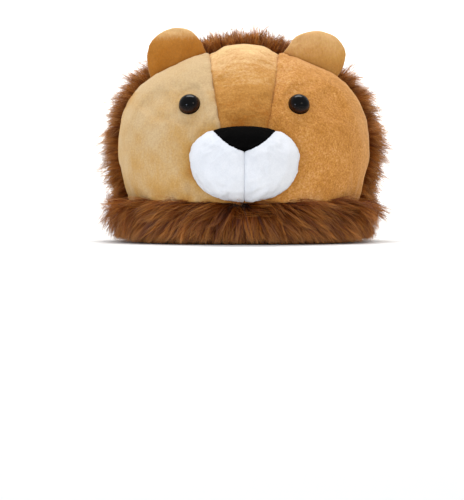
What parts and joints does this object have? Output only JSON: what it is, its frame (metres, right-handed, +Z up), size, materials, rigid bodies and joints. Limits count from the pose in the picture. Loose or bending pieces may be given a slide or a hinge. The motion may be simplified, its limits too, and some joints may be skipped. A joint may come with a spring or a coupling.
{
  "type": "plush lion costume hat",
  "caption": "Padded plush hat shaped as a lion's head, with a stuffed muzzle, small round ears, domed eyes and a long-haired mane and rim.",
  "frame": {"origin": "middle of the head opening, on the surface that the rim stands on", "axes": "the lion's face looks along -Y, +Z is up towards the crown, and +X is the right of the front view"},
  "size_m": [0.2735, 0.3033, 0.1985],
  "materials": {
    "velour": "short golden brown pile",
    "fur": "long brown faux fur",
    "white_plush": "short white pile",
    "black_plush": "black velvet",
    "eye_plastic": "glossy dark brown"
  },
  "bodies": {
    "root": {"face_left": "velour", "face_middle": "velour", "face_right": "velour", "ear_left": "velour", "ear_right": "velour", "muzzle_left": "white_plush", "muzzle_right": "white_plush", "nose": "black_plush", "eye_left": "eye_plastic", "eye_right": "eye_plastic", "crown": "velour", "mane": "fur", "fur_band": "fur"}
  },
  "joints": []
}
